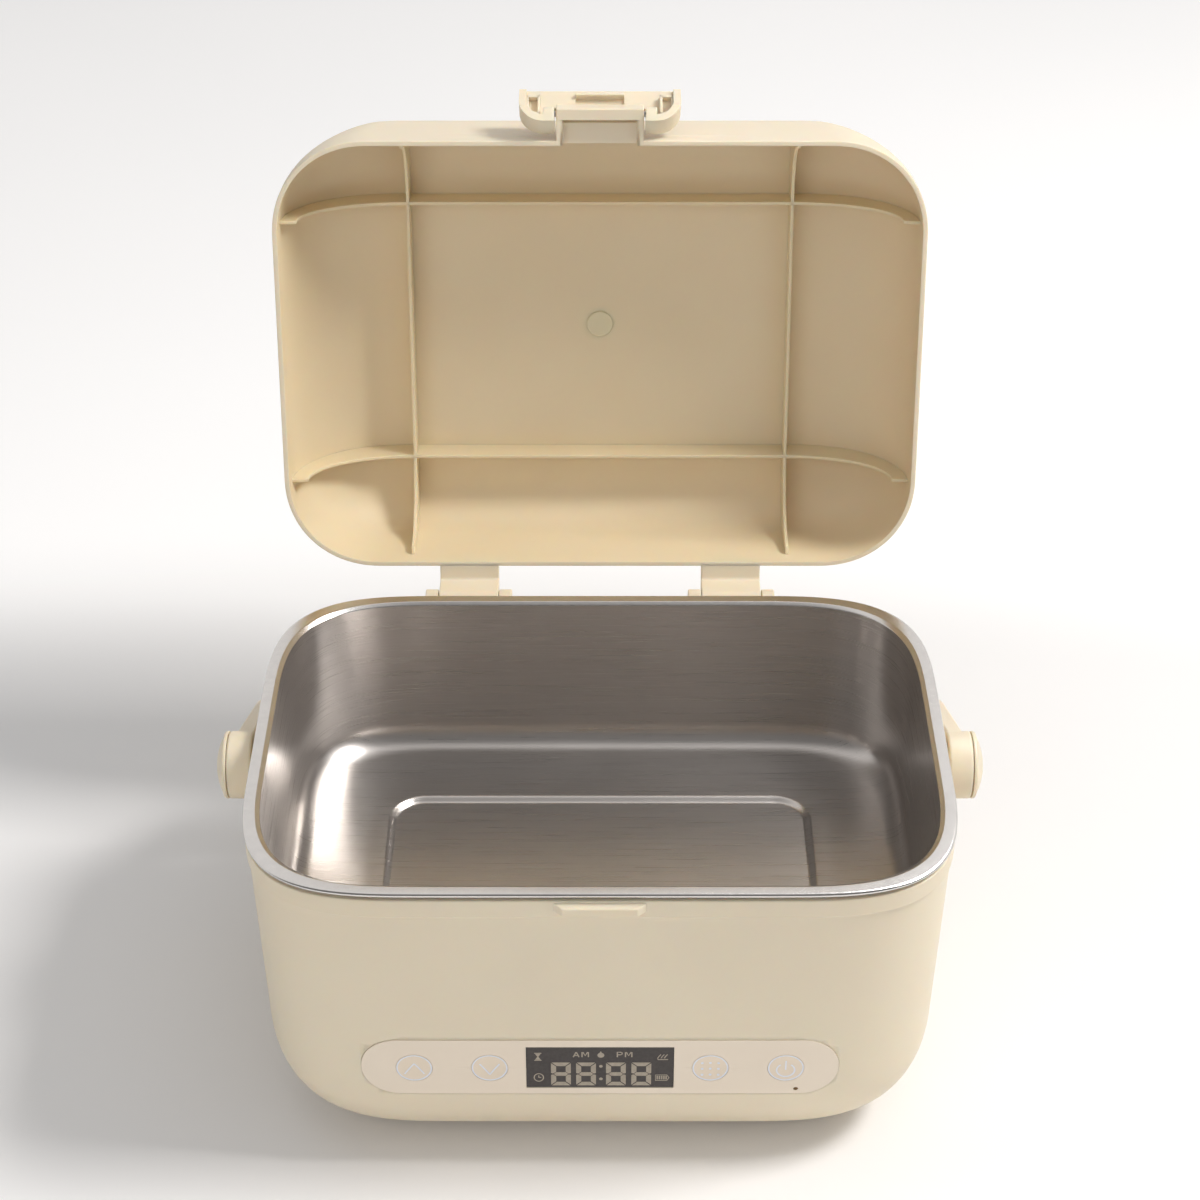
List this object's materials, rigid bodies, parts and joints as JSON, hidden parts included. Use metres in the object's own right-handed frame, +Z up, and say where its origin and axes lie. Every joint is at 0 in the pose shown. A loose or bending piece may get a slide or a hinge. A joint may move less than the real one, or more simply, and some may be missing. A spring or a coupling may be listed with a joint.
{
  "type": "electric lunch box",
  "caption": "Battery-heated lunch box with a hinged lid, front latch, lift-out steel container, folding carry handle and a front panel with display and buttons.",
  "frame": {"origin": "on the table that the feet stand on, under the middle of the body; the raised label field of the underside lies 1.7 mm above it", "axes": "+X to the right, -Y to the front with the panel and latch, +Z up"},
  "size_m": [0.2652, 0.2567, 0.3004],
  "materials": {
    "cream_shell": "satin moulded plastic",
    "panel_cream": "smooth satin plastic",
    "smoked_window": "smoked clear plastic",
    "brushed_steel": "brushed stainless steel",
    "plain_steel": "plain steel",
    "element_steel": "heat-darkened steel tube",
    "well_aluminium": "pressed aluminium",
    "dark_rubber": "moulded rubber",
    "white_felt": "pressed ceramic-fibre felt",
    "white_ceramic": "glazed ceramic",
    "black_plastic": "moulded plastic",
    "cell_sleeve": "metal can in a blue shrink sleeve",
    "nickel_strip": "nickel strip",
    "green_board": "glass-fibre board with solder mask",
    "lead_sleeve": "silicone-sleeved copper lead"
  },
  "bodies": {
    "body": {"outer_shell": "cream_shell", "bottom_cover": "cream_shell", "rubber_feet": "dark_rubber", "cover_screws": "plain_steel", "inner_well": "well_aluminium", "heating_plate": "well_aluminium", "heating_element": "element_steel", "element_clamps": "plain_steel", "heat_shield": "well_aluminium", "shield_standoffs": "plain_steel", "insulation_pad": "white_felt", "temperature_sensor": "plain_steel", "thermal_fuse": "white_ceramic", "battery_tray": "black_plastic", "battery_cells": "cell_sleeve", "cell_straps": "nickel_strip", "battery_board": "green_board", "main_board": "green_board", "power_components": "black_plastic", "sounder": "black_plastic", "heater_leads": "lead_sleeve", "display_board": "green_board", "display_module": "black_plastic", "display_window": "smoked_window", "control_panel": "panel_cream", "panel_switches": "black_plastic", "charging_socket": "black_plastic", "socket_nut": "plain_steel", "hinge_pins": "plain_steel", "pivot_studs": "plain_steel"},
    "lid": {"lid_shell": "cream_shell", "hinge_arms": "cream_shell", "latch_pin": "plain_steel"},
    "latch": {"latch": "cream_shell"},
    "handle": {"bail_handle": "cream_shell", "pivot_cap_left": "cream_shell", "pivot_cap_right": "cream_shell"},
    "container": {"food_container": "brushed_steel"},
    "button_up": {"button_up": "panel_cream"},
    "button_down": {"button_down": "panel_cream"},
    "button_menu": {"button_menu": "panel_cream"},
    "button_power": {"button_power": "panel_cream"}
  },
  "joints": [
    {"name": "lid_hinge", "type": "hinge", "parent": "body", "child": "lid", "pos_m": [0, 0.0915, 0.1178], "axis": [-1, 0, 0], "range_deg": [-99.8, 0]},
    {"name": "latch_hinge", "type": "hinge", "parent": "lid", "child": "latch", "pos_m": [0, 0.13151, 0.29477], "axis": [-1, 0, 0], "range_deg": [-155, 0]},
    {"name": "handle_hinge", "type": "hinge", "parent": "body", "child": "handle", "pos_m": [0, 0.005, 0.1078], "axis": [1, 0, 0], "range_deg": [-5, 25]},
    {"name": "container_lift", "type": "slide", "parent": "body", "child": "container", "axis": [0, 0, 1], "range_m": [0, 0.08]},
    {"name": "button_up_press", "type": "slide", "parent": "body", "child": "button_up", "axis": [0, 0.999, 0.0457], "range_m": [0, 0.0005], "stiffness_N_per_m": 1500, "springref_m": -0.0003},
    {"name": "button_down_press", "type": "slide", "parent": "body", "child": "button_down", "axis": [0, 0.999, 0.0457], "range_m": [0, 0.0005], "stiffness_N_per_m": 1500, "springref_m": -0.0003},
    {"name": "button_menu_press", "type": "slide", "parent": "body", "child": "button_menu", "axis": [0, 0.999, 0.0457], "range_m": [0, 0.0005], "stiffness_N_per_m": 1500, "springref_m": -0.0003},
    {"name": "button_power_press", "type": "slide", "parent": "body", "child": "button_power", "axis": [0, 0.999, 0.0457], "range_m": [0, 0.0005], "stiffness_N_per_m": 1500, "springref_m": -0.0003}
  ]
}
